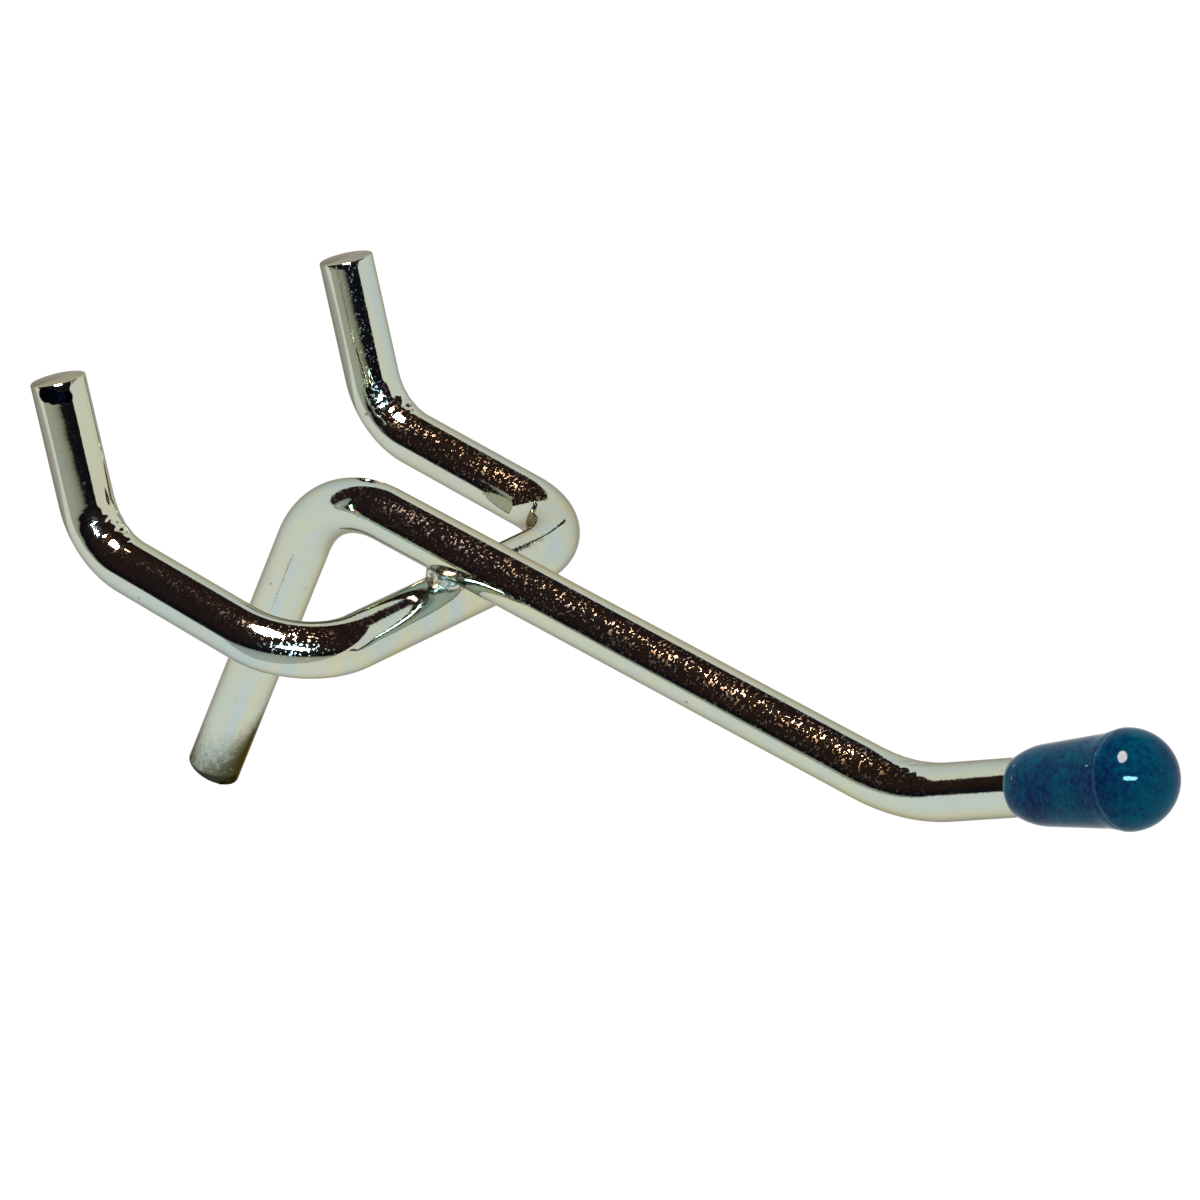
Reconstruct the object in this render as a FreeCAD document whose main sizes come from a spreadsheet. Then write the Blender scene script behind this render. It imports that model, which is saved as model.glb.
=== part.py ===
"""Double-prong pegboard hook of bright plated steel wire with a moulded push-on end cap.

Millimetres, +Z up. The origin lies on the front face of the board, midway between the two
holes, where the axes of the two peg legs cross that face. +Y goes into the board, the arm
comes out along -Y, and the hook is drawn as it hangs: the brace lies flat against the board.
"""
import FreeCAD, Part
import math
import os

import Sketcher

SIZES = [
    # both wires are cut from the same coil
    ("wire_diameter", 3.43),
    # peg wire: a bow in front of the board, two legs through it, two prongs behind it
    ("hole_pitch", 25.4),
    ("bow_reach", 12.6),
    ("bow_bend_radius", 4.8),
    ("leg_slope", 15.7),
    ("leg_length", 17.25),
    ("prong_bend_radius", 4.6),
    ("prong_rise", 49.7),
    ("prong_length", 10.75),
    # hook wire: a brace against the board, a long arm over the bow, a nose turned up
    ("arm_slope", 17.0),
    ("arm_length", 46.15),
    ("brace_length", 25.35),
    ("brace_bend_radius", 6.75),
    ("nose_slope", 46.3),
    ("nose_length", 16.25),
    ("nose_bend_radius", 12.4),
    ("cut_break", 0.1),
    ("cut_slant", 12.0),
    # weld where the arm crosses the bow
    ("weld_gap", 0.06),
    ("bead_radius", 1.4),
    ("bead_half_height", 1.15),
    # end cap: a domed sleeve that runs into a ball
    ("ball_radius", 2.93),
    ("wall_over_wire_end", 3.35),
    ("bore_clearance", 0.02),
    ("bore_depth", 7.3),
    ("shoulder_length", 1.89),
    ("shoulder_radius", 2.37),
    ("shoulder_curve", 5.2),
    ("sleeve_radius", 2.72),
    ("neck_blend", 6.0),
    ("parting_step", 0.05),
    ("lip_round", 0.05),
]

document = FreeCAD.newDocument("PegboardHook")
sheet = document.addObject("Spreadsheet::Sheet", "Sizes")
for row, (alias, size) in enumerate(SIZES, start=1):
    sheet.set(f"A{row}", alias)
    sheet.set(f"B{row}", str(size))
    sheet.setAlias(f"B{row}", alias)
document.recompute()

# Formulas that more than one piece is bound to.
WIRE_RADIUS = "(Sizes.wire_diameter / 2)"
PRONG_TURN = "(Sizes.prong_rise + Sizes.leg_slope)"
BOW_HEIGHT = "(Sizes.bow_reach * tan(Sizes.leg_slope))"
AXIS_GAP = "(Sizes.wire_diameter + Sizes.weld_gap)"
BEND_Y = f"(0 - {WIRE_RADIUS})"
BEND_Z = (f"({BOW_HEIGHT} + ({AXIS_GAP} - (Sizes.bow_reach - {WIRE_RADIUS}) * sin(Sizes.arm_slope))"
          " / cos(Sizes.arm_slope))")


def value(formula):
    """The number that a formula of sheet aliases has now."""
    return float(sheet.evalExpression(formula))


def bind(item, name, formula):
    item.setExpression(name, formula)


def add_body(name):
    body = document.addObject("PartDesign::Body", name)
    body.Label = name
    return body


def place(body, y="0", z="0", tilt="0"):
    """Move a body in the YZ plane and tip it about X, all three bound to the sheet."""
    body.Placement = FreeCAD.Placement(
        FreeCAD.Vector(0, value(y), value(z)),
        FreeCAD.Rotation(FreeCAD.Vector(1, 0, 0), value(tilt)))
    bind(body, ".Placement.Base.y", y)
    bind(body, ".Placement.Base.z", z)
    bind(body, ".Placement.Rotation.Angle", tilt)


def origin_plane(body, role):
    return next(feature for feature in body.Origin.OriginFeatures if feature.Role == role)


def add_sketch(body, name, plane, offset="0"):
    """A sketch on one of the body's own origin planes, moved along the plane's normal."""
    sketch = body.newObject("Sketcher::SketchObject", name)
    sketch.AttachmentSupport = [(origin_plane(body, plane), "")]
    sketch.MapMode = "FlatFace"
    sketch.AttachmentOffset = FreeCAD.Placement(FreeCAD.Vector(0, 0, value(offset)), FreeCAD.Rotation())
    bind(sketch, ".AttachmentOffset.Base.z", offset)
    return sketch


def dimension(sketch, kind, *where, formula):
    """A driving dimension of a sketch, bound to the sheet."""
    number = value(formula)
    if kind == "Angle":
        number = math.radians(number)
    index = sketch.addConstraint(Sketcher.Constraint(kind, *where, number))
    bind(sketch, f"Constraints[{index}]", formula)


def draw_circle(sketch, diameter, x="0", y="0"):
    centre = FreeCAD.Vector(value(x), value(y), 0)
    circle = sketch.addGeometry(Part.Circle(centre, FreeCAD.Vector(0, 0, 1), value(diameter) / 2))
    dimension(sketch, "Diameter", circle, formula=diameter)
    dimension(sketch, "DistanceX", -1, 1, circle, 3, formula=x)
    dimension(sketch, "DistanceY", -1, 1, circle, 3, formula=y)


def direction(heading):
    return FreeCAD.Rotation(FreeCAD.Vector(0, 0, 1), value(heading)).multVec(FreeCAD.Vector(1, 0, 0))


def draw_bent_wire(sketch, start, heading, runs):
    """The centre line of a bent wire: straights joined by tangent arcs.

    Each run is a length from corner to corner, then the turn in degrees (positive to the
    left) and the radius of the bend at its end. A straight gives up what its arcs take.
    """
    at = FreeCAD.Vector(value(start[0]), value(start[1]), 0)
    taken = "0"
    bend_end = None
    for length, *bend in runs:
        takes = f"({bend[1]} * tan(abs({bend[0]}) / 2))" if bend else "0"
        straight = f"({length} - {taken} - {takes})"
        end = at + direction(heading) * value(straight)
        line = sketch.addGeometry(Part.LineSegment(at, end))
        dimension(sketch, "Distance", line, formula=straight)
        if bend_end:
            sketch.addConstraint(Sketcher.Constraint("Tangent", *bend_end, line, 1))
        else:
            dimension(sketch, "DistanceX", -1, 1, line, 1, formula=start[0])
            dimension(sketch, "DistanceY", -1, 1, line, 1, formula=start[1])
            dimension(sketch, "Angle", line, formula=heading)
        if not bend:
            break
        turn, radius = bend
        side = 1 if value(turn) > 0 else -1
        centre = end + direction(f"({heading} + 90)") * (side * value(radius))
        spoke = end - centre
        about_z = FreeCAD.Vector(0, 0, 1)
        middle = centre + FreeCAD.Rotation(about_z, value(turn) / 2).multVec(spoke)
        at = centre + FreeCAD.Rotation(about_z, value(turn)).multVec(spoke)
        arc = sketch.addGeometry(Part.Arc(end, middle, at))
        near, far = (1, 2) if side > 0 else (2, 1)
        sketch.addConstraint(Sketcher.Constraint("Tangent", line, 2, arc, near))
        dimension(sketch, "Radius", arc, formula=radius)
        dimension(sketch, "Angle", arc, formula=f"abs({turn})")
        bend_end = (arc, far)
        heading = f"({heading} + {turn})"
        taken = takes


def draw_outline(sketch, corners, arcs=None):
    """A closed outline; each corner is held by two dimensions.

    arcs maps the number of a side to its radius and centre; the other sides are straight.
    """
    arcs = arcs or {}
    points = [FreeCAD.Vector(value(x), value(y), 0) for x, y in corners]
    sides = []
    for number, start in enumerate(points):
        finish = points[(number + 1) % len(points)]
        if number in arcs:
            radius, centre_x, centre_y = arcs[number]
            centre = FreeCAD.Vector(value(centre_x), value(centre_y), 0)
            bisector = ((start - centre) + (finish - centre)).normalize()
            side = sketch.addGeometry(Part.Arc(start, centre + bisector * value(radius), finish))
            turns_left = (start - centre).cross(finish - centre).z > 0
            near, far = (1, 2) if turns_left else (2, 1)
            dimension(sketch, "Radius", side, formula=radius)
        else:
            side = sketch.addGeometry(Part.LineSegment(start, finish))
            near, far = 1, 2
        dimension(sketch, "DistanceX", -1, 1, side, near, formula=corners[number][0])
        dimension(sketch, "DistanceY", -1, 1, side, near, formula=corners[number][1])
        sides.append((side, near, far))
    for (side, _, far), (following, near, _) in zip(sides, sides[1:] + sides[:1]):
        sketch.addConstraint(Sketcher.Constraint("Coincident", side, far, following, near))


def sweep_wire(body, name, profile, spine):
    pipe = body.newObject("PartDesign::AdditivePipe", name)
    pipe.Profile = profile
    pipe.Spine = spine
    document.recompute()
    return pipe


def round_edge(feature, centre, radius):
    """The name of the round edge that best matches a middle and a radius."""
    edges = [(edge.CenterOfMass.distanceToPoint(centre)
              + abs(edge.Length / math.tau - radius), f"Edge{number}")
             for number, edge in enumerate(feature.Shape.Edges, start=1)
             if edge.isClosed() and edge.Length > radius]
    return min(edges)[1]


def round_off(body, name, edges, radius):
    sharp = body.Tip
    fillet = body.newObject("PartDesign::Fillet", name)
    fillet.Base = (sharp, edges)
    bind(fillet, "Radius", radius)
    document.recompute()
    return fillet


def break_edges(body, name, edges, size):
    cut_wire = body.Tip
    chamfer = body.newObject("PartDesign::Chamfer", name)
    chamfer.Base = (cut_wire, edges)
    bind(chamfer, "Size", size)
    document.recompute()
    return chamfer


# Peg wire. Its own XY plane holds the bow and the two legs, with the middle of the bow at
# the origin; the prongs rise in the two planes through the leg axes.
prong_wire = add_body("prong_wire")
place(prong_wire, y="0 - Sizes.bow_reach", z=BOW_HEIGHT, tilt="0 - Sizes.leg_slope")

bow_section = add_sketch(prong_wire, "BowSection", "YZ_Plane")
draw_circle(bow_section, "Sizes.wire_diameter")
bow_line = add_sketch(prong_wire, "BowLine", "XY_Plane")
draw_bent_wire(bow_line, ("0", "0"), "0", [("Sizes.hole_pitch / 2", "90", "Sizes.bow_bend_radius")])
sweep_wire(prong_wire, "HalfBow", bow_section, bow_line)

leg_section = add_sketch(prong_wire, "LegSection", "XZ_Plane", "0 - Sizes.bow_bend_radius")
draw_circle(leg_section, "Sizes.wire_diameter", x="Sizes.hole_pitch / 2")
leg_line = add_sketch(prong_wire, "LegLine", "YZ_Plane", "Sizes.hole_pitch / 2")
draw_bent_wire(leg_line, ("Sizes.bow_bend_radius", "0"), "0", [
    ("(Sizes.leg_length - Sizes.bow_bend_radius)", PRONG_TURN, "Sizes.prong_bend_radius"),
    ("Sizes.prong_length",),
])
leg_and_prong = sweep_wire(prong_wire, "LegAndProng", leg_section, leg_line)

prong_tip = FreeCAD.Vector(
    value("Sizes.hole_pitch / 2"),
    value(f"Sizes.leg_length + Sizes.prong_length * cos({PRONG_TURN})"),
    value(f"Sizes.prong_length * sin({PRONG_TURN})"))
break_edges(prong_wire, "ProngTipBreak",
            [round_edge(leg_and_prong, prong_tip, value(WIRE_RADIUS))], "Sizes.cut_break")

both_sides = prong_wire.newObject("PartDesign::Mirrored", "BothSides")
both_sides.TransformMode = "Whole shape"
both_sides.MirrorPlane = (origin_plane(prong_wire, "YZ_Plane"), [""])
prong_wire.Tip = both_sides
document.recompute()

# Hook wire. Its own origin is the corner of the bend at the top of the brace; the whole
# wire lies in its YZ plane.
hook_wire = add_body("hook_wire")
place(hook_wire, y=BEND_Y, z=BEND_Z)

brace_section = add_sketch(hook_wire, "BraceSection", "XY_Plane", "0 - Sizes.brace_length")
draw_circle(brace_section, "Sizes.wire_diameter")
hook_line = add_sketch(hook_wire, "HookLine", "YZ_Plane")
draw_bent_wire(hook_line, ("0", "0 - Sizes.brace_length"), "90", [
    ("Sizes.brace_length", "(90 - Sizes.arm_slope)", "Sizes.brace_bend_radius"),
    ("Sizes.arm_length", "(Sizes.arm_slope - Sizes.nose_slope)", "Sizes.nose_bend_radius"),
    ("Sizes.nose_length",),
])
sweep_wire(hook_wire, "BraceArmAndNose", brace_section, hook_line)

# The brace was cropped in a press, so its end is a little out of square. The sketch looks
# at it from the front and covers all that lies below the slanting cut.
CUT_RISE = "(Sizes.wire_diameter * tan(Sizes.cut_slant))"
CUT_FLOOR = "0 - Sizes.brace_length - 2 * Sizes.wire_diameter"
cut_sketch = add_sketch(hook_wire, "SlantingCut", "XZ_Plane")
draw_outline(cut_sketch, [
    ("0 - Sizes.wire_diameter", f"{CUT_RISE} - Sizes.brace_length"),
    ("0 - Sizes.wire_diameter", CUT_FLOOR),
    ("Sizes.wire_diameter", CUT_FLOOR),
    ("Sizes.wire_diameter", f"0 - {CUT_RISE} - Sizes.brace_length"),
])
cropped = hook_wire.newObject("PartDesign::Pocket", "CroppedEnd")
cropped.Profile = cut_sketch
cropped.SideType = "Symmetric"
bind(cropped, "Length", "2 * Sizes.wire_diameter")
document.recompute()

brace_end = FreeCAD.Vector(0, 0, -value("Sizes.brace_length"))
nose_end = FreeCAD.Vector(
    0,
    -value("Sizes.arm_length * cos(Sizes.arm_slope) + Sizes.nose_length * cos(Sizes.nose_slope)"),
    value("Sizes.arm_length * sin(Sizes.arm_slope) + Sizes.nose_length * sin(Sizes.nose_slope)"))
break_edges(hook_wire, "WireEndBreaks",
            [round_edge(cropped, end, value(WIRE_RADIUS)) for end in (brace_end, nose_end)],
            "Sizes.cut_break")

# End cap. Its own Z axis is the axis of the nose and its origin is the middle of the ball;
# the wire end sits on the bottom of the bore.
tip_cap = add_body("tip_cap")
BALL_FROM_CORNER = "(Sizes.nose_length + Sizes.wall_over_wire_end - Sizes.ball_radius)"
place(
    tip_cap,
    y=f"{BEND_Y} - Sizes.arm_length * cos(Sizes.arm_slope) - {BALL_FROM_CORNER} * cos(Sizes.nose_slope)",
    z=f"{BEND_Z} + Sizes.arm_length * sin(Sizes.arm_slope) + {BALL_FROM_CORNER} * sin(Sizes.nose_slope)",
    tilt="90 - Sizes.nose_slope")

WIRE_END = "(Sizes.ball_radius - Sizes.wall_over_wire_end)"
MOUTH = f"({WIRE_END} - Sizes.bore_depth)"
BORE_RADIUS = f"({WIRE_RADIUS} + Sizes.bore_clearance)"
BACK_RADIUS = "(Sizes.ball_radius - Sizes.parting_step)"
NECK = f"(0 - sqrt({BACK_RADIUS} ^ 2 - Sizes.sleeve_radius ^ 2))"
SHOULDER = f"({MOUTH} + Sizes.shoulder_length)"
FLARE = f"atan((Sizes.sleeve_radius - Sizes.shoulder_radius) / ({NECK} - {SHOULDER}))"
CURVE_X = f"(Sizes.shoulder_radius - Sizes.shoulder_curve * cos({FLARE}))"
CURVE_Z = f"({SHOULDER} + Sizes.shoulder_curve * sin({FLARE}))"
LIP_RADIUS = f"({CURVE_X} + sqrt(Sizes.shoulder_curve ^ 2 - ({MOUTH} - {CURVE_Z}) ^ 2))"

cap_outline = add_sketch(tip_cap, "CapOutline", "XZ_Plane")
draw_outline(
    cap_outline,
    [
        ("0", WIRE_END),
        (BORE_RADIUS, WIRE_END),
        (BORE_RADIUS, MOUTH),
        (LIP_RADIUS, MOUTH),
        ("Sizes.shoulder_radius", SHOULDER),
        ("Sizes.sleeve_radius", NECK),
        (BACK_RADIUS, "0"),
        ("Sizes.ball_radius", "0"),
        ("0", "Sizes.ball_radius"),
    ],
    {
        3: ("Sizes.shoulder_curve", CURVE_X, CURVE_Z),
        5: (BACK_RADIUS, "0", "0"),
        7: ("Sizes.ball_radius", "0", "0"),
    })
turned_cap = tip_cap.newObject("PartDesign::Revolution", "TurnedCap")
turned_cap.Profile = cap_outline
turned_cap.ReferenceAxis = (cap_outline, ["V_Axis"])
turned_cap.Angle = math.degrees(math.tau)
document.recompute()

for name, height, radius, rounding in (
        ("NeckBlend", NECK, "Sizes.sleeve_radius", "Sizes.neck_blend"),
        ("LipRound", MOUTH, LIP_RADIUS, "Sizes.lip_round")):
    corner = round_edge(tip_cap.Tip, FreeCAD.Vector(0, 0, value(height)), value(radius))
    round_off(tip_cap, name, [corner], rounding)

# Weld. A flat drop of metal sits where the two wires cross; what the wires take up is cut
# away, so it meets both of them face to face.
drop = document.addObject("Part::Ellipsoid", "WeldDrop")
bind(drop, "Radius1", "Sizes.bead_half_height")
bind(drop, "Radius2", "Sizes.bead_radius")
bind(drop, "Radius3", "Sizes.bead_radius")
place(
    drop,
    y=f"{AXIS_GAP} / 2 * sin(Sizes.arm_slope) - Sizes.bow_reach",
    z=f"{BOW_HEIGHT} + {AXIS_GAP} / 2 * cos(Sizes.arm_slope)",
    tilt="0 - Sizes.arm_slope")
drop_over_bow = document.addObject("Part::Cut", "DropOverBow")
drop_over_bow.Base = drop
drop_over_bow.Tool = prong_wire
weld_bead = document.addObject("Part::Cut", "weld_bead")
weld_bead.Label = "weld_bead"
weld_bead.Base = drop_over_bow
weld_bead.Tool = hook_wire
document.recompute()

NODES = [prong_wire, hook_wire, weld_bead, tip_cap]

for item in document.Objects:
    if "Invalid" in item.State or "Error" in item.State:
        raise RuntimeError(f"{item.Name} did not build: {item.State}")
os.makedirs("parts", exist_ok=True)
for node in NODES:
    shape = node.Shape
    if shape.isNull() or not shape.isValid() or len(shape.Solids) != 1:
        raise RuntimeError(f"{node.Label} is not one sound solid")
    shape.exportStep(f"parts/{node.Label}.step")
    print(f"{node.Label}: {shape.Volume:.1f} mm3")
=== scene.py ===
# %% [markdown]
# # A double-prong pegboard hook
# The hook is two bent lengths of bright plated steel wire, a weld where they cross and a
# push-on plastic cap. The solid model fixes where each of them is. This lesson gives every
# one of them a finer skin: broken edges, marks of the bending tools, a lumpy weld and a
# turned cap. The first step loads the solid model, so that all that follows can be laid
# over it in the same place and at the same size.

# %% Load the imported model
import math

import bmesh
import bpy
from mathutils import Matrix, Vector, noise


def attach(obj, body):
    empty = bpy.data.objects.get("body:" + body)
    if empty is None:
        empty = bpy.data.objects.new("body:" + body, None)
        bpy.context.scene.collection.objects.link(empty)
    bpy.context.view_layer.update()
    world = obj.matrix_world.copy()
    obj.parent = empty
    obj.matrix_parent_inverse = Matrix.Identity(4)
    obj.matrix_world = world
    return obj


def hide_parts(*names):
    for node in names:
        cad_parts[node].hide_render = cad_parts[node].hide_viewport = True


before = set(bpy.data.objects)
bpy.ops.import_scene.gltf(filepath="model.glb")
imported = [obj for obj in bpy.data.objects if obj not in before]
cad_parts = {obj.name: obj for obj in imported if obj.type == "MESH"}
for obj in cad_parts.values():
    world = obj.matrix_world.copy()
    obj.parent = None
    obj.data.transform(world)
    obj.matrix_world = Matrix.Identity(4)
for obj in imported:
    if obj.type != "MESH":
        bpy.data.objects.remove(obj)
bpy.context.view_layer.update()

print("pieces of the solid model:", sorted(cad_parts))

# %% [markdown]
# ## The camera
# A small product is often taken with a long lens from about 40 cm, which keeps its far end
# from shrinking. The camera could be turned by three angles typed in by hand. Here it hangs
# on an arm instead: an azimuth and an elevation about the middle of the hook, then a roll
# about its own line of sight, because the hook lay askew when its picture was taken.

# %% Set the camera
MM = 0.001
LOOK_AT = Vector((3.17, -20.62, 9.17)) * MM
CAMERA_DISTANCE = 390.13 * MM
LENS = 194.95
AZIMUTH = -61.98
ELEVATION = 39.57
ROLL = 23.98

camera_data = bpy.data.cameras.new("camera")
camera_data.lens = LENS
camera_data.sensor_width = 36
camera_data.clip_start = 0.01
camera = bpy.data.objects.new("camera", camera_data)
bpy.context.scene.collection.objects.link(camera)
swing = Matrix.Rotation(math.radians(AZIMUTH), 4, "Z")
tip = Matrix.Rotation(math.radians(90 - ELEVATION), 4, "X")
roll = Matrix.Rotation(math.radians(ROLL), 4, "Z")
out_to_camera = Matrix.Translation((0, 0, CAMERA_DISTANCE))
camera.matrix_world = Matrix.Translation(LOOK_AT) @ swing @ tip @ out_to_camera @ roll
bpy.context.scene.camera = camera
bpy.context.scene.view_settings.view_transform = "Standard"
print("camera at", [round(x / MM) for x in camera.matrix_world.translation], "mm")

# %% [markdown]
# ## Sums that make nodes
# A finish is a tree of nodes, and most of its nodes are small sums. They could be added and
# linked one by one, but a sum is easier to read as a sum. This class wraps one output of a
# node, and each sign between two of them adds the Math node that works it out.

# %% A socket that can be added and multiplied
class Wired:
    def __init__(self, tree, socket=None):
        self.tree = tree
        self.socket = socket

    def node(self, kind, settings=None, sockets=None, output=0):
        """Add a node: its settings first, then a number, a colour or a link for each socket."""
        made = self.tree.nodes.new("ShaderNode" + kind)
        for name, choice in (settings or {}).items():
            if name == "stops":
                set_stops(made.color_ramp, choice)
            else:
                setattr(made, name, choice)
        for name, given in (sockets or {}).items():
            if isinstance(given, Wired):
                self.tree.links.new(given.socket, made.inputs[name])
            else:
                made.inputs[name].default_value = given
        return Wired(self.tree, made.outputs[output] if made.outputs else None)

    def other(self, output):
        """Another output of the same node."""
        return Wired(self.tree, self.socket.node.outputs[output])

    def sum(self, operation, first, second):
        return self.node("Math", {"operation": operation}, {0: first, 1: second})

    def __add__(self, other):
        return self.sum("ADD", self, other)

    def __sub__(self, other):
        return self.sum("SUBTRACT", self, other)

    def __rsub__(self, other):
        return self.sum("SUBTRACT", other, self)

    def __mul__(self, other):
        return self.sum("MULTIPLY", self, other)

    def __abs__(self):
        return self.sum("ABSOLUTE", self, 0.0)

    __radd__ = __add__
    __rmul__ = __mul__


def set_stops(ramp, stops):
    while len(ramp.elements) < len(stops):
        ramp.elements.new(0.5)
    for element, (place, colour) in zip(ramp.elements, stops):
        element.position = place
        element.color = colour


print("a Wired value knows +, -, * and abs")

# %% [markdown]
# ## How a finish begins and ends
# Every finish starts as an empty material and ends at its output. The white of this room
# has one more need: it has to look white to the camera and in the metal, and yet throw no
# more light on the hook. The Light Path node tells these apart, because it knows what kind
# of ray is asking. Brighter lamps would whiten the floor too, but they would burn out the
# plating.

# %% Begin and end a finish
def new_finish(name):
    """An empty material and a start for its nodes."""
    material = bpy.data.materials.new(name)
    material.use_nodes = True
    material.node_tree.nodes.clear()
    return material, Wired(material.node_tree)


def show(start, surface):
    start.node("OutputMaterial", {}, {"Surface": surface})


def mirrored_or_seen(start):
    """1 for what the camera sees or metal mirrors, 0 for light that falls on things."""
    rays = start.node("LightPath")
    return rays + rays.other("Is Glossy Ray") + rays.other("Is Transmission Ray")


print("a finish goes from new_finish to show")

# %% [markdown]
# ## The floor and the room
# Bright metal has hardly any colour of its own: it shows what stands round it. The hook
# was taken over white paper in a dark room, and that is why its wires are pale with one
# sharp dark band. So the room here is a pale floor, a pale world, and one dark cloth that
# hangs over the hook. A picture of a room could be wrapped round the scene, but a cloth cut
# from a ball needs no picture, and its three edges can be moved until the bands fit.

# %% Lay the floor and light the world
FLOOR_LEVEL = -1.0
FLOOR_SIZE = 12
PAPER = (0.82, 0.82, 0.81, 1)
PAPER_GLOW = 0.45
ROOM_LEVEL = 0.72


def stand_in_room(name, shape, finish, mirrored_only=True):
    """Turn a shape in metres into a thing of the room, hidden except in mirror images."""
    mesh = bpy.data.meshes.new(name)
    shape.to_mesh(mesh)
    shape.free()
    mesh.materials.append(finish)
    thing = bpy.data.objects.new(name, mesh)
    bpy.context.scene.collection.objects.link(thing)
    if mirrored_only:
        thing.visible_camera = False
        thing.visible_diffuse = False
        thing.visible_shadow = False
    print(name, "has", len(mesh.polygons), "faces")
    return thing


white_paper, start = new_finish("white_paper")
paper = start.node("BsdfDiffuse", {}, {"Color": PAPER})
glow = start.node("Emission", {}, {"Color": (1, 1, 1, 1),
                                   "Strength": mirrored_or_seen(start) * PAPER_GLOW})
show(start, start.node("AddShader", {}, {0: paper, 1: glow}))

floor_shape = bmesh.new()
bmesh.ops.create_grid(floor_shape, x_segments=1, y_segments=1, size=FLOOR_SIZE)
bmesh.ops.translate(floor_shape, verts=floor_shape.verts, vec=(0, 0, FLOOR_LEVEL))
floor = stand_in_room("floor", floor_shape, white_paper, mirrored_only=False)

world = bpy.data.worlds.new("room")
bpy.context.scene.world = world
world.use_nodes = True
world.node_tree.nodes.clear()
room = Wired(world.node_tree)
room_level = ROOM_LEVEL + mirrored_or_seen(room) * (1 - ROOM_LEVEL)
sky = room.node("Background", {}, {"Color": (1, 1, 1, 1), "Strength": room_level})
room.node("OutputWorld", {}, {"Surface": sky})
print("floor", -FLOOR_LEVEL, "m below the board holes")

# %% [markdown]
# ## The dark cloth
# Each edge of the cloth is a flat cut through a large ball round the hook. A flat cut is
# the `bisect_plane` operator: everything on one side of the plane is thrown away. Only
# reflections see the cloth, so it takes no light from the plastic and no view is blocked.
# Towards the board the cloth goes on as a paler, thinner one. A second object would do, but
# a colour ramp over the distance from the cut gives both tones and a soft step between.

# %% Dye the cloth
CLOTH_RADIUS = 1.35
BELOW_THE_NOSE = ((-0.4643, -0.3114, 0.8292), -0.158)
BEFORE_THE_BOARD = ((0.0203, 0.5085, 0.8608), -0.149)
RIGHT_OF_THE_BOW = ((-0.6979, 0.3160, 0.6427), 0.049)
GREY_MARGIN = 0.60
CLOTH_SHADES = [
    (0.0, (0.70, 0.70, 0.68, 1)),
    (0.36, (0.60, 0.60, 0.57, 1)),
    (0.51, (0.54, 0.54, 0.50, 1)),
    (0.585, (0.40, 0.40, 0.36, 1)),
    (0.62, (0.20, 0.20, 0.17, 1)),
    (0.64, (0.005, 0.005, 0.012, 1)),
    (0.85, (0.014, 0.009, 0.011, 1)),
    (1.0, (0.026, 0.014, 0.014, 1))]


def along(start, where, direction):
    """How far a place lies in a direction."""
    return start.node("VectorMath", {"operation": "DOT_PRODUCT"}, {0: where, 1: direction},
                      output=1)


dark_cloth, start = new_finish("dark_cloth")
direction, depth = BEFORE_THE_BOARD
where = start.node("TexCoord", output=3)
inside = along(start, where, Vector(direction) / CLOTH_RADIUS) - depth
shade = start.node("ValToRGB", {"stops": CLOTH_SHADES}, {"Fac": inside + GREY_MARGIN})
show(start, start.node("Emission", {}, {"Color": shade, "Strength": 1.0}))
print("the cloth has", len(CLOTH_SHADES), "shades")

# %% Cut the cloth from a ball
cloth_shape = bmesh.new()
bmesh.ops.create_uvsphere(cloth_shape, u_segments=128, v_segments=64, radius=CLOTH_RADIUS)
for (direction, depth), margin in (
        (BELOW_THE_NOSE, 0), (BEFORE_THE_BOARD, GREY_MARGIN), (RIGHT_OF_THE_BOW, 0)):
    inward = Vector(direction).normalized()
    depth -= margin
    bmesh.ops.bisect_plane(
        cloth_shape, geom=cloth_shape.verts[:] + cloth_shape.edges[:] + cloth_shape.faces[:],
        plane_co=inward * depth * CLOTH_RADIUS, plane_no=inward, clear_inner=True)
cloth = stand_in_room("dark_cloth", cloth_shape, dark_cloth)

# %% [markdown]
# ## The rail
# The bow shows one more mark: a thin dark line that ends in the open. Something long and
# narrow hung beside the cloth. A line could be painted on the wire, but then it would stay
# put when the hook is turned. A bent rail of the same cloth gives a line that slides along
# the metal as a real mirror image does.

# %% Hang a bent rail
RAIL_THICKNESS = 0.10
RAIL_RUNS_THROUGH = [(0.66, 0.37, 0.645), (0.76, 0.36, 0.53), (0.90, 0.26, 0.34)]

rail_shape = bmesh.new()
knots = [Vector(direction).normalized() * CLOTH_RADIUS for direction in RAIL_RUNS_THROUGH]
for first, last in zip(knots, knots[1:]):
    run = last - first
    bmesh.ops.create_cone(
        rail_shape, segments=16, radius1=RAIL_THICKNESS / 2, radius2=RAIL_THICKNESS / 2,
        depth=run.length, cap_ends=True,
        matrix=Matrix.Translation((first + last) / 2)
        @ run.to_track_quat("Z", "X").to_matrix().to_4x4())
rail = stand_in_room("curtain_rail", rail_shape, dark_cloth)

# %% [markdown]
# ## The lamps
# Two lamps gave the hook its sparks of light: a warm one high behind it, and a low, wide
# flash on the camera, which is cooler. Both were far brighter than the room, so even a
# faint scratch or pit throws them back. Lamps as bright as that would burn out the plastic,
# so they are shown to reflections only, and one broad soft lamp does the other lighting.

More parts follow.
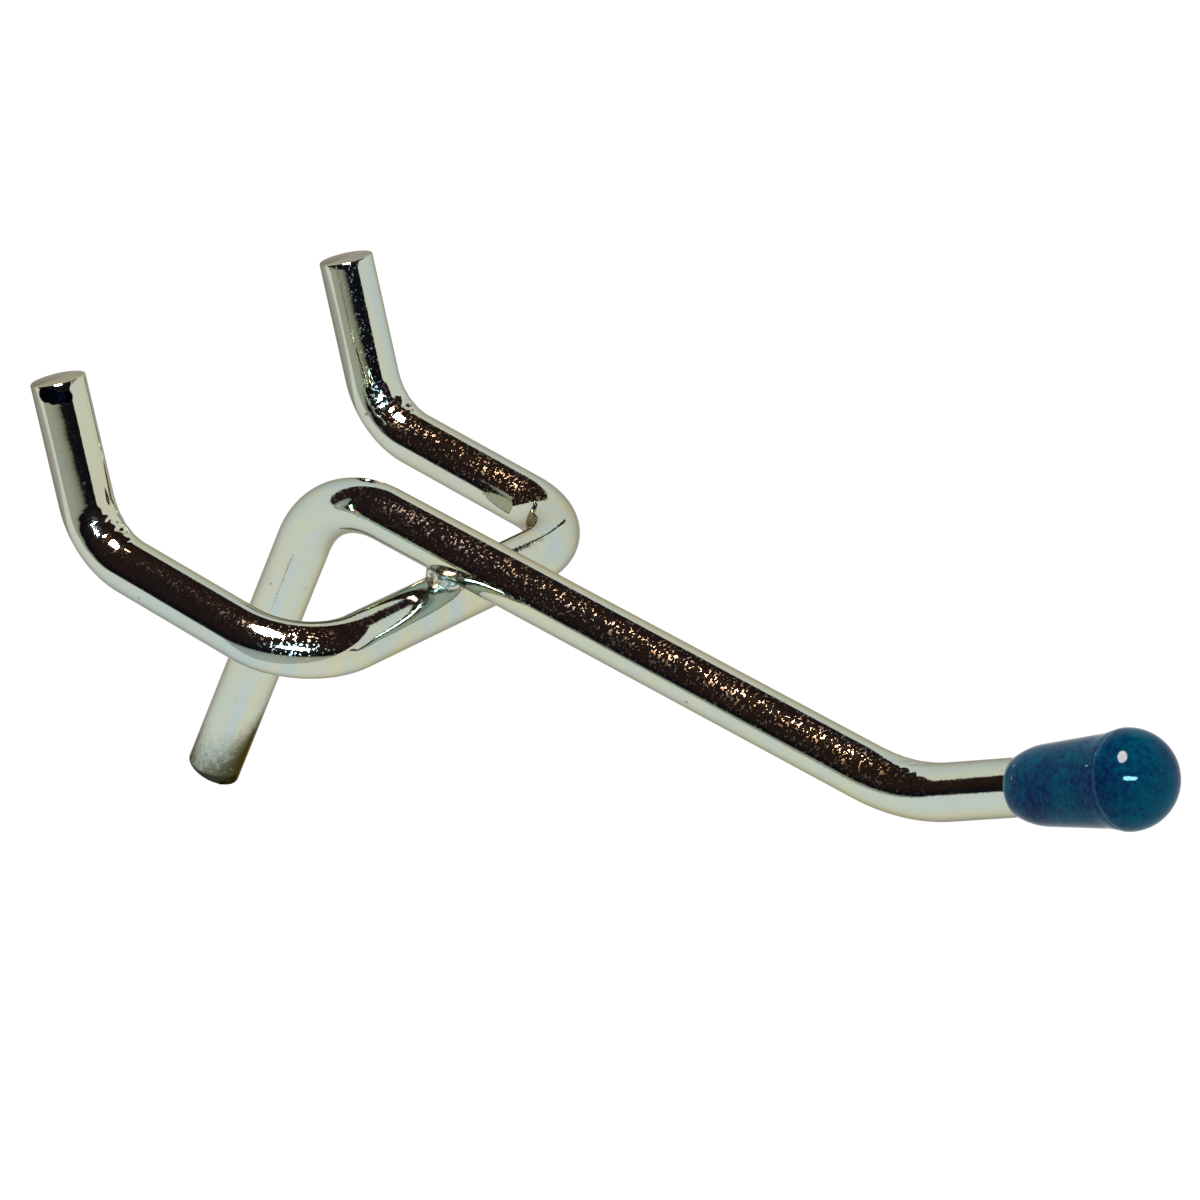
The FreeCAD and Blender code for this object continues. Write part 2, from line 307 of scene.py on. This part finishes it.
# %% Hang the lamps
def hang_lamp(name, direction, distance, width, height, radiance, colour, level=None):
    """A lamp that looks at the hook; its power gives it the brightness asked for."""
    lamp = bpy.data.lights.new(name, "AREA")
    lamp.shape = "ELLIPSE"
    lamp.size = width
    lamp.size_y = height
    lamp.color = colour
    lamp.energy = radiance * math.pi * math.pi * width * height / 4
    holder = bpy.data.objects.new(name, lamp)
    away = Vector(direction).normalized()
    if level is None:
        level = Vector((0, 0, 1)).cross(away)
    level = level.normalized()
    turn = Matrix((level, away.cross(level), away)).transposed().to_4x4()
    holder.matrix_world = Matrix.Translation(LOOK_AT + away * distance) @ turn
    holder.visible_camera = False
    bpy.context.scene.collection.objects.link(holder)
    print(name, "of", round(lamp.energy, 2), "W")
    return holder


TO_CAMERA = (camera.matrix_world.translation - LOOK_AT).normalized()
HIGH_BEHIND = Vector((-0.30, 0.44, 0.85))
JUST_OVER_THE_LENS = TO_CAMERA + Vector((0.02, 0.03, 0.05))
WARM = (1.0, 0.60, 0.46)
COOL = (0.55, 0.82, 1.0)
NEUTRAL = (1.0, 0.98, 0.95)
# The flash sat on the camera, so it is level with the picture and not with the floor.
along_picture = camera.matrix_world.to_3x3().col[0]
warm_lamp = hang_lamp("warm_lamp", HIGH_BEHIND, distance=1.0, width=0.52, height=0.34,
                      radiance=340.0, colour=WARM)
soft_lamp = hang_lamp("soft_lamp", HIGH_BEHIND, distance=1.1, width=0.6, height=0.6,
                      radiance=2.2, colour=NEUTRAL)
cool_flash = hang_lamp("cool_flash", JUST_OVER_THE_LENS, distance=0.9, width=0.50,
                       height=0.14, radiance=420.0, colour=COOL, level=along_picture)
for spark in (warm_lamp, cool_flash):
    spark.visible_diffuse = False
soft_lamp.visible_glossy = False

# %% [markdown]
# ## Feeding and bending wire
# A wire former knows two moves: it feeds a length of straight wire, and it turns what it
# has fed round a roller. `extrude` and `spin` are the same two moves for a ring of edges.
# A curve with a round bevel would be shorter to write, but rings that are laid down in
# order can be dented afterwards where a tool gripped the wire.

# %% Two moves of the wire former
WIRE_RADIUS = 3.43 / 2
AROUND = 64
FEED_STEP = 0.4
BEND_STEP = 1.0


class Former:
    """A length of wire on its way through the former, in millimetres."""

    def __init__(self, at, heading):
        self.shape = bmesh.new()
        self.at = Vector(at)
        self.heading = Vector(heading).normalized()
        square_on = self.heading.to_track_quat("Z", "X").to_matrix().to_4x4()
        bmesh.ops.create_circle(
            self.shape, segments=AROUND, radius=WIRE_RADIUS, cap_ends=False,
            matrix=Matrix.Translation(self.at) @ square_on)
        self.edges = self.shape.edges[:]

    def feed(self, length):
        steps = max(1, round(length / FEED_STEP))
        for _ in range(steps):
            pushed = bmesh.ops.extrude_edge_only(self.shape, edges=self.edges)["geom"]
            corners = [item for item in pushed if isinstance(item, bmesh.types.BMVert)]
            bmesh.ops.translate(self.shape, verts=corners, vec=self.heading * (length / steps))
            front = set(corners)
            self.edges = [item for item in pushed if isinstance(item, bmesh.types.BMEdge)
                          and item.verts[0] in front and item.verts[1] in front]
        self.at += self.heading * length

    def bend(self, degrees, radius, axis):
        """Turn the wire round a pin and return the pin's middle."""
        axis = Vector(axis)
        pin = self.at + axis.cross(self.heading) * radius
        turned = bmesh.ops.spin(
            self.shape, geom=self.edges, cent=pin, axis=axis, dvec=(0, 0, 0),
            angle=math.radians(degrees), steps=round(degrees / BEND_STEP), use_duplicate=False)
        self.edges = [item for item in turned["geom_last"]
                      if isinstance(item, bmesh.types.BMEdge)]
        swing = Matrix.Rotation(math.radians(degrees), 3, axis)
        self.at = pin + swing @ (self.at - pin)
        self.heading = swing @ self.heading
        return pin


def run_between(length, *bends):
    """The straight part of a run, given corner to corner, between its bends."""
    return length - sum(radius * math.tan(math.radians(degrees) / 2)
                        for degrees, radius in bends)


print("wire of", 2 * WIRE_RADIUS, "mm with", AROUND, "faces round it")

# %% [markdown]
# ## Cropped ends and crumpled bends
# Cropped wire has a flat end whose edge has lost its sharpness in the plating bath. A face
# over the last ring and a small bevel make it. Inside a tight bend the steel has nowhere to
# go, so it flattens against the pin and wrinkles. Those folds could be a bump in the finish,
# but bright metal shows them as bends of whole mirror images, so the points are moved.

# %% Close an end and crumple a bend
CUT_BREAK = 0.1
FOLDS_FROM = 0.15
FOLDS_GROW_OVER = 0.45
RIPPLES = 8.3
CREASE_WIDTH = 0.09
FLAT_TO_FOLD = 2.4


def close_end(shape, edges):
    """Close a ring of edges with a flat face and break its sharp edge."""
    flat = bmesh.ops.contextual_create(shape, geom=edges)["faces"]
    bmesh.ops.bevel(
        shape, geom=flat[0].edges[:], offset=CUT_BREAK, offset_type="OFFSET", segments=4,
        profile=0.5, affect="EDGES", material=-1, clamp_overlap=False)


def crumple_bend(shape, pin, toward, bend_radius, spread, depth):
    """Crumple the inside of a bend: a flat from the pin, low ripples and a few creases."""
    pin = Vector(pin)
    middle = math.atan2(toward.z, toward.y)
    inside_radius = bend_radius - WIRE_RADIUS
    for point in shape.verts:
        spoke = point.co - pin
        reach = math.hypot(spoke.y, spoke.z)
        angle = math.atan2(spoke.z, spoke.y) - middle
        travel = ((angle + math.pi) % math.tau - math.pi) * inside_radius
        inner = (bend_radius - reach) / WIRE_RADIUS
        in_other_bend = abs(spoke.x) > 2 * WIRE_RADIUS
        if in_other_bend or abs(travel) > spread or not FOLDS_FROM < inner < 1.2:
            continue
        hold = (1 - (travel / spread) ** 2) * min(1.0, (inner - FOLDS_FROM) / FOLDS_GROW_OVER)
        lie = Vector((spoke.x * 1.1, travel * 2.2, pin.x))
        ripple = 0.5 + 0.5 * math.cos(travel * RIPPLES + 2 * noise.noise(lie))
        crease = max(0.0, 1 - abs(noise.noise(lie * 0.9)) / CREASE_WIDTH)
        dent = depth * hold * (0.7 * ripple + crease * max(0.0, inner - 0.3))
        flat = inside_radius + FLAT_TO_FOLD * depth * hold * (1 + noise.noise(lie * 1.7))
        reach_now = max(bend_radius + (reach - bend_radius) * (1 - dent / WIRE_RADIUS), flat)
        point.co = pin + Vector((spoke.x * (1 - dent / WIRE_RADIUS),
                                 spoke.y * reach_now / reach, spoke.z * reach_now / reach))


def finish_piece(name, shape, finish, slot, *nodes):
    """Turn a shape in millimetres into a smooth piece in metres that stands for its solids."""
    bmesh.ops.remove_doubles(shape, verts=shape.verts, dist=0.001)
    bmesh.ops.recalc_face_normals(shape, faces=shape.faces)
    bmesh.ops.scale(shape, verts=shape.verts, vec=(MM, MM, MM))
    mesh = bpy.data.meshes.new(name)
    shape.to_mesh(mesh)
    shape.free()
    mesh.shade_smooth()
    mesh.materials.append(finish)
    piece = bpy.data.objects.new(name, mesh)
    bpy.context.scene.collection.objects.link(piece)
    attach(piece, "root")
    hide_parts(*nodes)
    print(name, "has", len(mesh.polygons), "faces")


print("ends are broken by", CUT_BREAK, "mm")

# %% [markdown]
# ## Steps that come back
# Four steps come back in the finishes of the hook: unevenness, a fade from one value to
# another, a blend of two colours and a spot round a point. The blend needs a Mix node,
# because a Math node turns colours grey. Each step could be spelled out where it is used.
# As small functions they make a finish read like a recipe.

# %% Name the steps
def uneven(start, where, scale, detail, roughness):
    """Noise with so many lumps in a metre."""
    return start.node("TexNoise", {"noise_dimensions": "3D"},
                      {"Vector": where, "Scale": scale, "Detail": detail, "Roughness": roughness})


def fade(start, value, none, full, smooth=False):
    """0 where the value is at none, 1 where it is at full, and a ramp between them."""
    kind = {"interpolation_type": "SMOOTHSTEP"} if smooth else {}
    return start.node("MapRange", kind, {"Value": value, "From Min": none, "From Max": full})


def blend(start, share, first, second):
    return start.node("Mix", {"data_type": "RGBA"},
                      {"Factor": share, "A": first, "B": second}, output=2)


def near(start, where, middle, reach, softness):
    """1 within a ball round a point in millimetres, 0 outside it."""
    away = start.node("VectorMath", {"operation": "DISTANCE"},
                      {0: where, 1: Vector(middle) * MM}, output=1)
    return fade(start, away, (reach + softness) * MM, max(0.0, reach - softness) * MM,
                smooth=True)


print("a finish can be uneven, faded, blended and kept near a point")

# %% [markdown]
# ## Pits in the plating
# The wire was drawn, bent, welded and then plated, and years of goods have been slid over
# it. Fine pits catch the lamp and sparkle in the dark band. They could be dents in the
# metal, but thousands of them would weigh the mesh down. A pit is duller than the plating
# round it, and that alone makes it shine from the side, so only the roughness changes.

# %% Sprinkle the pits
CRUMBS_IN_A_METRE = 5600.0


def pitted(start, where, grain, patches):
    """0 on whole plating, more in a pit, and no pits where the cap covers the nose."""
    crumbs = uneven(start, where, CRUMBS_IN_A_METRE, 1.0, 0.5)
    pits = fade(start, crumbs * 0.7 + grain * 0.3 + patches * 0.15, 0.632, 0.69, smooth=True)
    # Goods slide along the arm, so it is scuffed most near the nose, least at the board.
    down_the_arm = along(start, where, (20.0, -12.0, 0.0)) + 0.45
    scuffed = 0.10 + fade(start, down_the_arm, 0.0, 0.7) * 0.8
    out_from_board = start.node("SeparateXYZ", {}, {"Vector": where}, output=1)
    bare = fade(start, out_from_board, -0.050, -0.045)
    # The first corner of the bow takes knocks.
    knocked = near(start, where, (-12.4, -11.7, 4.5), 1.9, 1.2)
    return pits * (scuffed * bare + knocked * 0.9)


print("pits are about", round(1000 / CRUMBS_IN_A_METRE, 2), "mm apart")

# %% [markdown]
# ## The tint of the plating
# Bright plating is washed at the end, and the wash leaves a film that is faintly blue here
# and faintly yellow there. On drawn wire it follows the lines of the drawing die. One plain
# colour would look like chrome on a tap. So a noise is stretched along the wire and picks
# between a bluer and a yellower tint, and where heat or rust got at it, it turns browner.

# %% Tint the plating
STREAKS_IN_A_METRE = 1100.0
SCORCHED = (0.56, 0.50, 0.36, 1)
RUST = (0.16, 0.10, 0.05, 1)


def tinted(start, where, patches, tint, scorch):
    """Blue and yellow streaks round a tint, with a share of scorched brown."""
    # X runs across the arm, the brace and the legs, so a noise that is fine in X is long
    # along them. The middle of the bow runs along X, and it gets patches instead.
    across = start.node("VectorMath", {"operation": "MULTIPLY"},
                        {0: where, 1: (STREAKS_IN_A_METRE, 40.0, 40.0)})
    streaks = uneven(start, across, 1.0, 2.0, 0.6)
    off_middle = abs(start.node("SeparateXYZ", {}, {"Vector": where}))
    bow = fade(start, abs(off_middle - 0.006), 0.0048, 0.0036, smooth=True)
    hue = streaks * (1 - bow) + bow * patches
    bluer = (tint[0] * 0.88, tint[1] * 0.97, tint[2] * 1.12, 1)
    yellower = (tint[0] * 1.10, tint[1] * 1.01, tint[2] * 0.82, 1)
    colour = blend(start, fade(start, hue, 0.34, 0.66), bluer, yellower)
    warmth = fade(start, uneven(start, where, 130.0, 3.0, 0.6), 0.48, 0.70)
    return blend(start, warmth * scorch, colour, SCORCHED)


print("the tint changes every", round(1000 / STREAKS_IN_A_METRE, 1), "mm across the wire")

# %% [markdown]
# ## Dirt and painted shade
# The end of the brace carries a painted reflection of a shadow, olive with a near-black
# rim, one tip has a blue-black burn, and the backs of the prongs are painted a darker grey
# as painted shade. Each could be painted on a picture, but that needs a flattened skin. A
# ball round a point in space marks what lies inside it, and noise frays its edge. A very
# large ball has a nearly flat side, and so it also serves for a straight edge of a mark.

# %% Lay the dirt and the painted shade over the tint
MARKS_DULL_BY = 0.09
MOTTLING = 1.4
OLIVE_SHADOW_REFLECTION = (0.062, 0.060, 0.030, 1)
DARK_SHADOW_REFLECTION = (0.030, 0.030, 0.018, 1)
BLUE_BLACK = (0.002, 0.002, 0.006, 1)
GREY_PAINTED_SHADE = (0.29, 0.30, 0.255, 1)
# Each mark is a middle, a reach and a softness in millimetres, and a colour.
WIRE_MARKS_AND_SHADES = [
    # The first two are painted shade: the backs of the prongs, facing down and away, are painted
    # a darker grey.
    ((-12.7, 38.9, -21.9), 40.1, 0.15, GREY_PAINTED_SHADE),
    ((12.7, 38.9, -21.9), 40.1, 0.15, GREY_PAINTED_SHADE),
    ((-14.36, 10.25, 6.98), 0.50, 0.06, BLUE_BLACK),
    ((-14.16, 9.80, 7.12), 0.50, 0.06, BLUE_BLACK),
    ((-13.90, 9.50, 7.22), 0.42, 0.06, BLUE_BLACK),
    ((-13.60, 9.28, 7.34), 0.42, 0.06, BLUE_BLACK),
    # The last three are a painted reflection of a shadow under the cut end of the brace: olive,
    # with a near-black rim along its bottom.
    ((26.4, -3.0, -29.4), 30.1, 1.5, OLIVE_SHADOW_REFLECTION),
    ((6.2, -3.3, -19.9), 6.0, 0.9, DARK_SHADOW_REFLECTION),
    ((-0.6, -2.9, -25.5), 5.0, 0.22, DARK_SHADOW_REFLECTION)]


def lay_marks(start, where, grain, patches, marks, colour, dullness):
    """The colour and the dullness with every mark laid over them."""
    for middle, reach, softness, mark_colour in marks:
        inside = near(start, where, middle, reach, softness)
        # Where a mark's edge is soft, it is also mottled in grains.
        mottled = (grain - 0.40) * (MOTTLING * min(softness, 1.0))
        frayed = inside + (grain - 0.5) * 0.5 + (patches - 0.5) * 0.5 - mottled
        covered = fade(start, frayed, 0.05, 0.75) * inside
        colour = blend(start, covered, colour, mark_colour)
        dullness = dullness + covered * MARKS_DULL_BY
    return colour, dullness


print(len(WIRE_MARKS_AND_SHADES), "marks on the wires")

# %% [markdown]
# ## Bright plated wire
# The plating is bright but not flat: it lies over drawn steel like the skin of an orange,
# so a mirror image breaks up at its edges. A rough metal would only blur the dark band. So
# the finish stays smooth, and two sizes of bump do the breaking up. The weld has the same
# plating, but it is duller and more scorched.

# %% Mix the plated finish
WAVE_DEPTH = 0.012 * MM
GRAIN_DEPTH = 0.0022 * MM


def plated(name, tint, scorch, marks=(), dull=0.0):
    """Bright plating with pits, streaks, rust specks and the marks and painted shades given."""
    material, start = new_finish(name)
    where = start.node("TexCoord", output=3)
    grain = uneven(start, where, 3400.0, 2.0, 0.6)
    patches = uneven(start, where, 500.0, 2.0, 0.5)
    rust = fade(start, uneven(start, where, 1500.0, 1.0, 0.5), 0.74, 0.80)
    colour = tinted(start, where, patches, tint, scorch)
    colour = blend(start, rust * 0.6, colour, RUST)
    colour, dullness = lay_marks(start, where, grain, patches, marks, colour, rust * 0.2 + dull)
    waves = uneven(start, where, 420.0, 1.0, 0.5)
    long_bump = start.node("Bump", {}, {"Height": waves, "Distance": WAVE_DEPTH,
                                        "Strength": 1.0})
    bump = start.node("Bump", {}, {"Height": grain, "Distance": GRAIN_DEPTH, "Strength": 1.0,
                                   "Normal": long_bump})
    roughness = 0.045 + pitted(start, where, grain, patches) * 0.15 + dullness
    show(start, start.node("BsdfPrincipled", {}, {
        "Base Color": colour, "Metallic": 1.0, "Roughness": roughness, "Normal": bump,
        "Specular Tint": (0.44, 0.40, 0.34, 1)}))
    print(name, "has", len(material.node_tree.nodes), "nodes")
    return material


bright_wire = plated("bright_plated_wire", tint=(0.50, 0.545, 0.465, 1), scorch=0.35,
                     marks=WIRE_MARKS_AND_SHADES)
bright_weld = plated("plated_weld", tint=(0.56, 0.54, 0.42, 1), scorch=1.0, dull=0.12)

# %% [markdown]
# ## The peg wire
# One length of wire makes the bow and both pegs. It is bent flat first, as a narrow U, and
# then both free ends are turned up so that they hook behind the board. It is drawn here in
# the plane of its bow, prong tip to prong tip in one go, and tipped into place at the end.

# %% Bend the peg wire
HOLE_PITCH = 25.4
BOW_REACH = 12.6
LEG_SLOPE = 15.7
BOW_HEIGHT = BOW_REACH * math.tan(math.radians(LEG_SLOPE))
LEG = 17.25
PRONG = 10.75
PRONG_TURN = 49.7 + LEG_SLOPE
PRONG_RADIUS = 4.6
PRONG_BEND = (PRONG_TURN, PRONG_RADIUS)
BOW_BEND = (90, 4.8)
prong_slope = math.radians(PRONG_TURN)
up_the_prong = Vector((0, math.cos(prong_slope), math.sin(prong_slope)))

peg = Former(Vector((-HOLE_PITCH / 2, LEG, 0)) + up_the_prong * PRONG, -up_the_prong)
first_tip = peg.edges[:]
peg.feed(run_between(PRONG, PRONG_BEND))
peg.bend(*PRONG_BEND, (-1, 0, 0))
peg.feed(run_between(LEG, PRONG_BEND, BOW_BEND))
peg.bend(*BOW_BEND, (0, 0, 1))
peg.feed(run_between(HOLE_PITCH, BOW_BEND, BOW_BEND))
peg.bend(*BOW_BEND, (0, 0, 1))
peg.feed(run_between(LEG, PRONG_BEND, BOW_BEND))
peg.bend(*PRONG_BEND, (1, 0, 0))
peg.feed(run_between(PRONG, PRONG_BEND))
for side in (-1, 1):
    pin = (side * HOLE_PITCH / 2, LEG - PRONG_RADIUS * math.tan(prong_slope / 2), PRONG_RADIUS)
    toward = Vector((0, math.sin(prong_slope / 2), -math.cos(prong_slope / 2)))
    crumple_bend(peg.shape, pin, toward, PRONG_RADIUS, spread=1.5, depth=0.03)
close_end(peg.shape, first_tip)
close_end(peg.shape, peg.edges)
hang = (Matrix.Translation((0, -BOW_REACH, BOW_HEIGHT))
        @ Matrix.Rotation(math.radians(-LEG_SLOPE), 4, "X"))
bmesh.ops.transform(peg.shape, verts=peg.shape.verts, matrix=hang)
finish_piece("prong_wire_finish", peg.shape, bright_wire, "plated_wire", "prong_wire")

# %% [markdown]
# ## The hook wire
# The second wire lies flat against the board, turns out over the bow and ends in a nose
# that keeps goods from sliding off. It was cropped in a press, so its lower end is cut
# askew: the wire starts a little long and a slanting plane takes the extra off.

# %% Bend and crop the hook wire
BRACE = 25.35
ARM = 46.15
NOSE = 16.25
ARM_SLOPE = 17.0
NOSE_SLOPE = 46.3
NOSE_RADIUS = 12.4
BRACE_BEND = (90 - ARM_SLOPE, 6.75)
NOSE_BEND = (NOSE_SLOPE - ARM_SLOPE, NOSE_RADIUS)
CUT_SLANT = 12
SPARE = 1.0
WELD_GAP = 0.06
AXIS_GAP = 2 * WIRE_RADIUS + WELD_GAP
arm_angle = math.radians(ARM_SLOPE)
corner_height = BOW_HEIGHT + ((AXIS_GAP - (BOW_REACH - WIRE_RADIUS) * math.sin(arm_angle))
                              / math.cos(arm_angle))
brace_end = Vector((0, -WIRE_RADIUS, corner_height - BRACE))

hook = Former(brace_end - Vector((0, 0, SPARE)), (0, 0, 1))
hook.feed(run_between(BRACE, BRACE_BEND) + SPARE)
hook.bend(*BRACE_BEND, (1, 0, 0))
hook.feed(run_between(ARM, BRACE_BEND, NOSE_BEND))
nose_pin = hook.bend(*NOSE_BEND, (-1, 0, 0))
hook.feed(run_between(NOSE, NOSE_BEND))
WIRE_END = hook.at.copy()
NOSE_HEADING = hook.heading.copy()
nose_middle = math.radians((ARM_SLOPE + NOSE_SLOPE) / 2)
toward = Vector((0, -math.sin(nose_middle), -math.cos(nose_middle)))
crumple_bend(hook.shape, nose_pin, toward, NOSE_RADIUS, spread=2.2, depth=0.025)
cropped = bmesh.ops.bisect_plane(
    hook.shape, geom=hook.shape.verts[:] + hook.shape.edges[:] + hook.shape.faces[:],
    plane_co=brace_end, plane_no=(math.tan(math.radians(CUT_SLANT)), 0, 1), clear_inner=True)
rim = [item for item in cropped["geom_cut"] if isinstance(item, bmesh.types.BMEdge)]
close_end(hook.shape, rim)
close_end(hook.shape, hook.edges)
finish_piece("hook_wire_finish", hook.shape, bright_wire, "plated_wire", "hook_wire")

# %% [markdown]
# ## The weld
# Where the arm crosses the bow the two wires were pressed together under current. Metal
# squeezed out all round and froze as small beads. A ball pressed flat gives the drop, and
# moving its points in and out by a smooth noise gives it the beads.

# %% Squeeze out the weld
BEAD_RADIUS = 1.4
BEAD_HALF_HEIGHT = 1.15
LUMPS = 0.10
drop = bmesh.new()
bmesh.ops.create_icosphere(drop, subdivisions=6, radius=1.0)
for point in drop.verts:
    lump = noise.noise(point.co * 2.1 + Vector((3.1, 0.4, 7.7)))
    point.co *= 1.0 + LUMPS * lump
between = Vector((0, AXIS_GAP / 2 * math.sin(arm_angle), AXIS_GAP / 2 * math.cos(arm_angle)))
seat = (Matrix.Translation(Vector((0, -BOW_REACH, BOW_HEIGHT)) + between)
        @ Matrix.Rotation(-arm_angle, 4, "X")
        @ Matrix.Diagonal((BEAD_RADIUS, BEAD_RADIUS, BEAD_HALF_HEIGHT, 1)))
bmesh.ops.transform(drop, verts=drop.verts, matrix=seat)
finish_piece("weld_bead_finish", drop, bright_weld, "plated_weld", "weld_bead")

# %% [markdown]
# ## The cap
# The cap is a soft plastic moulding: a sleeve with a domed mouth that runs into a ball.
# Round the widest part of the ball a fine step shows where the two halves of the mould
# met, with a thread of flash that squeezed out between them. A turned part is one outline
# and one full spin. The arcs of the outline are drawn by spinning a single point, which is
# how a pair of compasses draws them.

# %% A pencil for the cap's outline
class Outline:
    """A line of points in the plane of the cap's axis."""

    def __init__(self, at):
        self.shape = bmesh.new()
        self.last = self.shape.verts.new(at)

    def line(self, to, steps=1):
        origin = self.last.co.copy()
        for step in range(1, steps + 1):
            pushed = self.shape.verts.new(origin.lerp(Vector(to), step / steps))
            self.shape.edges.new((self.last, pushed))
            self.last = pushed

    def arc(self, centre, to, steps):
        centre = Vector(centre)
        first = self.last.co - centre
        final = Vector(to) - centre
        drawn = bmesh.ops.spin(
            self.shape, geom=[self.last], cent=centre, axis=first.cross(final).normalized(),
            dvec=(0, 0, 0), angle=first.angle(final), steps=steps, use_duplicate=False)
        self.last = [item for item in drawn["geom_last"]
                     if isinstance(item, bmesh.types.BMVert)][0]


BALL = 2.93
BACK = BALL - 0.05
WALL = BALL - 3.35
MOUTH = WALL - 7.3
SHOULDER = MOUTH + 1.89
SLEEVE = 2.72
SHOULDER_RADIUS = 2.37
SHOULDER_CURVE = 5.2
NECK_BLEND = 6.0
BORE = WIRE_RADIUS + 0.02
print("the cap is", round(BALL - MOUTH, 2), "mm long")

# %% [markdown]
# ## Where the arcs meet
# The sleeve flares towards the ball, its mouth curves in, and a hollow arc leads from the
# sleeve to the ball. An arc that only ends near the next line leaves a kink that gloss
# shows at once. So the middle of each arc is worked out: the neck's arc rests on the ball
# and on the sleeve at once, and the mouth's arc leaves the sleeve square to it.

# %% Find the middles of the arcs
neck = -math.sqrt(BACK ** 2 - SLEEVE ** 2)
flare = math.atan((SLEEVE - SHOULDER_RADIUS) / (neck - SHOULDER))
along_sleeve = Vector((-math.sin(flare), 0, -math.cos(flare)))
off_sleeve = Vector((math.cos(flare), 0, -math.sin(flare)))
off_neck = Vector((SLEEVE, 0, neck)) + off_sleeve * NECK_BLEND
reach = off_neck.dot(along_sleeve)
slide = -reach + math.sqrt(reach ** 2 - off_neck.length_squared + (BACK + NECK_BLEND) ** 2)
neck_centre = off_neck + along_sleeve * slide
shoulder_point = Vector((SHOULDER_RADIUS, 0, SHOULDER))
shoulder_centre = shoulder_point - off_sleeve * SHOULDER_CURVE
lip_radius = shoulder_centre.x + math.sqrt(
    SHOULDER_CURVE ** 2 - (MOUTH - shoulder_centre.z) ** 2)
print("neck arc round", [round(x, 2) for x in neck_centre], "mm; lip", round(lip_radius, 2))

# %% Draw half the cap and turn it
FLASH = ((BACK - 0.02, -0.02), (BACK - 0.02, -0.05), (BALL - 0.01, -0.10),
         (BALL - 0.01, -0.12), (BACK, -0.16))
TURN_STEPS = 96

cap = Outline((0, 0, BALL))
cap.arc((0, 0, 0), (BALL, 0, 0), 40)
for radius, z in FLASH:
    cap.line((radius, 0, z))
cap.arc((0, 0, 0), neck_centre * BACK / (BACK + NECK_BLEND), 10)
cap.arc(neck_centre, neck_centre - off_sleeve * NECK_BLEND, 10)
cap.line(shoulder_point, 12)
cap.arc(shoulder_centre, (lip_radius, 0, MOUTH), 12)
cap.line((BORE, 0, MOUTH), 2)
cap.line((BORE, 0, WALL), 8)
cap.line((0, 0, WALL))
bmesh.ops.spin(cap.shape, geom=cap.shape.verts[:] + cap.shape.edges[:], cent=(0, 0, 0),
               axis=(0, 0, 1), dvec=(0, 0, 0), angle=math.tau, steps=TURN_STEPS, use_merge=True,
               use_duplicate=False)
push_on = (Matrix.Translation(WIRE_END - NOSE_HEADING * WALL)
           @ NOSE_HEADING.to_track_quat("Z", "X").to_matrix().to_4x4())
bmesh.ops.transform(cap.shape, verts=cap.shape.verts, matrix=push_on)
print("cap turned in", TURN_STEPS, "steps")

# %% [markdown]
# ## Glossy teal plastic
# The plastic is dyed through, and the dye hasn't mixed evenly: teal with finer violet dust.
# The lip at the mouth is thin, so light comes through and it looks paler, and that light
# is painted into its colour. The thread of flash is painted paler too, a painted highlight
# where the lamps catch its edge. Each could be a part with its own colour. Measured down
# the nose they are only places on one moulding, so one finish picks them out by that
# distance. The left side of the cap is painted a little darker and more violet, as painted
# shade.

# %% Dye the plastic, paint its shade and highlight, and finish the cap
TEAL = (0.0004, 0.092, 0.155, 1)
VIOLET = (0.004, 0.014, 0.080, 1)
THIN_LIP = (0.035, 0.21, 0.26, 1)
FLASH_HIGHLIGHT = (0.03, 0.20, 0.42, 1)

glossy_cap, start = new_finish("glossy_cap_plastic")
where = start.node("TexCoord", output=3)
cloud = uneven(start, where, 320.0, 3.0, 0.6)
dust = uneven(start, where, 3600.0, 2.0, 0.6)
skin = uneven(start, where, 1800.0, 2.0, 0.5)
# Painted shade: the left side of the cap is mixed a little darker and more violet.
leftward = start.node("SeparateXYZ", {}, {"Vector": where})
faded = fade(start, leftward, -1.2 * MM, -2.9 * MM)
mix = fade(start, cloud * 0.5 + dust * 0.5 + faded * 0.13, 0.42, 0.68)
blue = blend(start, mix, TEAL, VIOLET)
down_the_nose = along(start, where, NOSE_HEADING)
mouth_at = (WIRE_END + NOSE_HEADING * (MOUTH - WALL)).dot(NOSE_HEADING) * MM
lip = fade(start, down_the_nose, mouth_at + 0.35 * MM, mouth_at, smooth=True)
blue = blend(start, lip, blue, THIN_LIP)
parting_at = (WIRE_END - NOSE_HEADING * WALL).dot(NOSE_HEADING) * MM
# The thread of flash lies 0.10 mm behind the widest part of the ball.
off_parting = abs(down_the_nose - (parting_at - 0.10 * MM))
flash = fade(start, off_parting, 0.06 * MM, 0.02 * MM, smooth=True)
# Painted highlight: the thread of flash is mixed towards a paler blue, as where it catches the
# lamps.
blue = blend(start, flash * 0.35, blue, FLASH_HIGHLIGHT)
bump = start.node("Bump", {}, {"Height": skin, "Distance": 0.003 * MM, "Strength": 1.0})
show(start, start.node("BsdfPrincipled", {}, {
    "Base Color": blue, "Roughness": 0.02 + cloud * 0.04, "Specular IOR Level": 0.12,
    "IOR": 1.25, "Specular Tint": (0.5, 0.85, 1.0, 1), "Normal": bump}))
finish_piece("tip_cap_finish", cap.shape, glossy_cap, "cap_plastic", "tip_cap")
